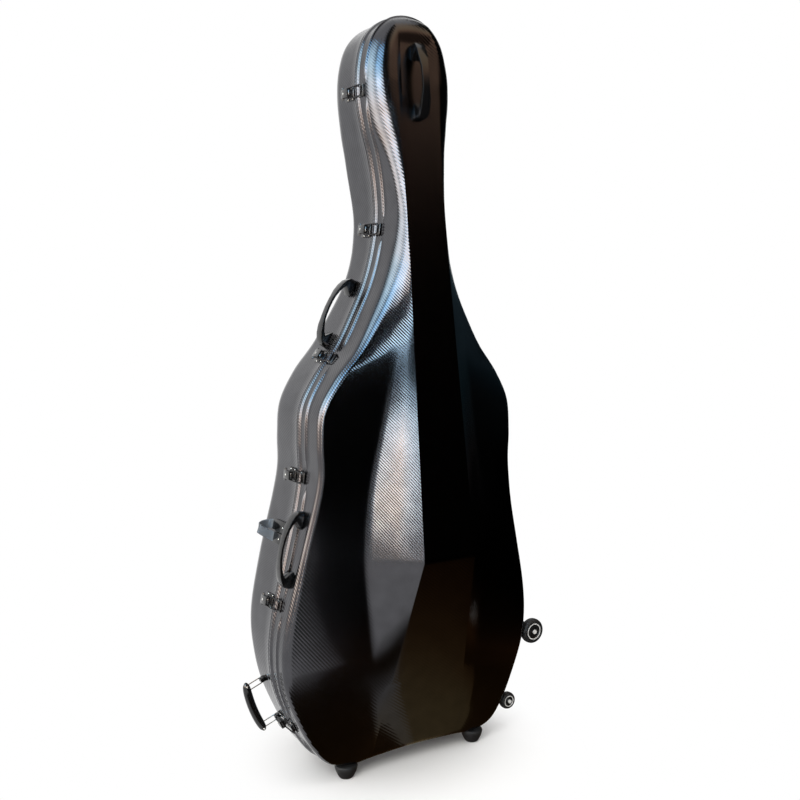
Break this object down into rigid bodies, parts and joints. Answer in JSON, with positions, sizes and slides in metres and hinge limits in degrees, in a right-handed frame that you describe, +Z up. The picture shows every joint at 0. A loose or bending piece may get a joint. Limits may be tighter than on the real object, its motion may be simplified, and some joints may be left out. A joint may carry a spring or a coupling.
{
  "type": "double bass case",
  "caption": "Upright two-part moulded case for a double bass, with a faceted hinged front lid, edge latches, carrying handles, a swinging grip, side wheels and feet.",
  "frame": {"origin": "centre of the bounding box, on the floor under the feet", "axes": "+Z up along the case, -Y towards the faceted front lid, -X towards the latches, +X towards the hinges and wheels"},
  "size_m": [0.8948, 0.456, 1.984],
  "materials": {
    "carbon_laminate": "clear gloss over a diagonal woven fibre",
    "lining_plush": "short soft pile",
    "pad_fabric": "soft cloth over foam",
    "seal_rubber": "matt",
    "handle_plastic": "moulded gloss",
    "latch_black": "black powder coat",
    "bright_steel": "bright",
    "foot_rubber": "matt",
    "tyre_rubber": "matt",
    "hub_plastic": "satin",
    "bracket_plastic": "satin",
    "loop_webbing": "tight weave"
  },
  "bodies": {
    "back_case": {"back_shell": "carbon_laminate", "rim_seal": "seal_rubber", "back_lining": "lining_plush", "neck_cradle": "pad_fabric", "left_bout_pad": "pad_fabric", "right_bout_pad": "pad_fabric", "lower_hinge_back_leaf": "latch_black", "upper_hinge_back_leaf": "latch_black", "upper_side_handle": "handle_plastic", "grip_upper_mount": "handle_plastic", "grip_lower_mount": "handle_plastic", "strap_loop": "loop_webbing", "strap_loop_clamp": "handle_plastic", "back_left_foot": "foot_rubber", "back_right_foot": "foot_rubber", "back_large_bracket": "bracket_plastic", "back_small_bracket": "bracket_plastic", "latch_1_base": "latch_black", "latch_2_base": "latch_black", "latch_3_base": "latch_black", "latch_4_base": "latch_black", "latch_5_base": "latch_black", "latch_6_base": "latch_black"},
    "lid": {"front_shell": "carbon_laminate", "front_lining": "lining_plush", "lower_hinge_front_leaf": "latch_black", "upper_hinge_front_leaf": "latch_black", "lower_side_handle": "handle_plastic", "head_handle": "handle_plastic", "front_left_foot": "foot_rubber", "front_right_foot": "foot_rubber", "front_large_bracket": "bracket_plastic", "front_small_bracket": "bracket_plastic", "latch_1_keeper": "latch_black", "latch_2_keeper": "latch_black", "latch_3_keeper": "latch_black", "latch_4_keeper": "latch_black", "latch_5_keeper": "latch_black", "latch_6_keeper": "latch_black"},
    "grip": {"grip_sleeve": "handle_plastic", "grip_upper_link": "bright_steel", "grip_lower_link": "bright_steel"},
    "latch_1_lever": {"latch_1_lever": "latch_black"},
    "latch_1_bail": {"latch_1_bail": "bright_steel"},
    "latch_2_lever": {"latch_2_lever": "latch_black"},
    "latch_2_bail": {"latch_2_bail": "bright_steel"},
    "latch_3_lever": {"latch_3_lever": "latch_black"},
    "latch_3_bail": {"latch_3_bail": "bright_steel"},
    "latch_4_lever": {"latch_4_lever": "latch_black"},
    "latch_4_bail": {"latch_4_bail": "bright_steel"},
    "latch_5_lever": {"latch_5_lever": "latch_black"},
    "latch_5_bail": {"latch_5_bail": "bright_steel"},
    "latch_6_lever": {"latch_6_lever": "latch_black"},
    "latch_6_bail": {"latch_6_bail": "bright_steel"},
    "back_large_wheel": {"back_large_tyre": "tyre_rubber", "back_large_hub": "hub_plastic"},
    "back_small_wheel": {"back_small_wheel": "tyre_rubber"},
    "front_large_wheel": {"front_large_tyre": "tyre_rubber", "front_large_hub": "hub_plastic"},
    "front_small_wheel": {"front_small_wheel": "tyre_rubber"}
  },
  "joints": [
    {"name": "lid_hinge", "type": "hinge", "parent": "back_case", "child": "lid", "pos_m": [0.38246, 0.02594, 0.40586], "axis": [-0.1539, 0, 0.9881], "range_deg": [0, 95]},
    {"name": "latch_1_lever_hinge", "type": "hinge", "parent": "back_case", "child": "latch_1_lever", "pos_m": [-0.35515, 0.04744, 0.14501], "axis": [-0.4325, 0, 0.9016], "range_deg": [0, 110]},
    {"name": "latch_1_bail_hinge", "type": "hinge", "parent": "latch_1_lever", "child": "latch_1_bail", "pos_m": [-0.35335, 0.05744, 0.14588], "axis": [-0.4325, 0, 0.9016], "range_deg": [-131, 0]},
    {"name": "latch_2_lever_hinge", "type": "hinge", "parent": "back_case", "child": "latch_2_lever", "pos_m": [-0.39291, 0.04744, 0.48329], "axis": [0.1985, 0, 0.9801], "range_deg": [0, 110]},
    {"name": "latch_2_bail_hinge", "type": "hinge", "parent": "latch_2_lever", "child": "latch_2_bail", "pos_m": [-0.39095, 0.05744, 0.48289], "axis": [0.1985, 0, 0.9801], "range_deg": [-131, 0]},
    {"name": "latch_3_lever_hinge", "type": "hinge", "parent": "back_case", "child": "latch_3_lever", "pos_m": [-0.32284, 0.04744, 0.80601], "axis": [0.0774, 0, 0.997], "range_deg": [0, 110]},
    {"name": "latch_3_bail_hinge", "type": "hinge", "parent": "latch_3_lever", "child": "latch_3_bail", "pos_m": [-0.32085, 0.05744, 0.80585], "axis": [0.0774, 0, 0.997], "range_deg": [-131, 0]},
    {"name": "latch_4_lever_hinge", "type": "hinge", "parent": "back_case", "child": "latch_4_lever", "pos_m": [-0.23301, 0.04744, 1.11581], "axis": [0.5909, 0, 0.8067], "range_deg": [0, 110]},
    {"name": "latch_4_bail_hinge", "type": "hinge", "parent": "latch_4_lever", "child": "latch_4_bail", "pos_m": [-0.23139, 0.05744, 1.11463], "axis": [0.5909, 0, 0.8067], "range_deg": [-131, 0]},
    {"name": "latch_5_lever_hinge", "type": "hinge", "parent": "back_case", "child": "latch_5_lever", "pos_m": [-0.0969, 0.04744, 1.44185], "axis": [0.1441, 0, 0.9896], "range_deg": [0, 110]},
    {"name": "latch_5_bail_hinge", "type": "hinge", "parent": "latch_5_lever", "child": "latch_5_bail", "pos_m": [-0.09492, 0.05744, 1.44156], "axis": [0.1441, 0, 0.9896], "range_deg": [-131, 0]},
    {"name": "latch_6_lever_hinge", "type": "hinge", "parent": "back_case", "child": "latch_6_lever", "pos_m": [-0.14541, 0.04744, 1.7868], "axis": [-0.0172, 0, 0.9999], "range_deg": [0, 110]},
    {"name": "latch_6_bail_hinge", "type": "hinge", "parent": "latch_6_lever", "child": "latch_6_bail", "pos_m": [-0.14341, 0.05744, 1.78683], "axis": [-0.0172, 0, 0.9999], "range_deg": [-131, 0]},
    {"name": "back_large_wheel_spin", "type": "hinge", "parent": "back_case", "child": "back_large_wheel", "pos_m": [0.41089, 0.02594, 0.28339], "axis": [0, 1, 0], "continuous": true},
    {"name": "back_small_wheel_spin", "type": "hinge", "parent": "back_case", "child": "back_small_wheel", "pos_m": [0.32262, 0.02594, 0.08906], "axis": [0, 1, 0], "continuous": true},
    {"name": "front_large_wheel_spin", "type": "hinge", "parent": "lid", "child": "front_large_wheel", "pos_m": [0.41089, 0.02594, 0.28339], "axis": [0, 1, 0], "continuous": true},
    {"name": "front_small_wheel_spin", "type": "hinge", "parent": "lid", "child": "front_small_wheel", "pos_m": [0.32262, 0.02594, 0.08906], "axis": [0, 1, 0], "continuous": true},
    {"name": "grip_swing", "type": "hinge", "parent": "back_case", "child": "grip", "pos_m": [-0.37366, 0.09344, 0.20241], "axis": [-0.3531, 0, 0.9356], "range_deg": [-70, 40]}
  ],
  "couplings": [
    {"joint": "latch_1_bail_hinge", "follows": "latch_1_lever_hinge", "ratio": -1.18},
    {"joint": "latch_2_bail_hinge", "follows": "latch_2_lever_hinge", "ratio": -1.18},
    {"joint": "latch_3_bail_hinge", "follows": "latch_3_lever_hinge", "ratio": -1.18},
    {"joint": "latch_4_bail_hinge", "follows": "latch_4_lever_hinge", "ratio": -1.18},
    {"joint": "latch_5_bail_hinge", "follows": "latch_5_lever_hinge", "ratio": -1.18},
    {"joint": "latch_6_bail_hinge", "follows": "latch_6_lever_hinge", "ratio": -1.18}
  ]
}
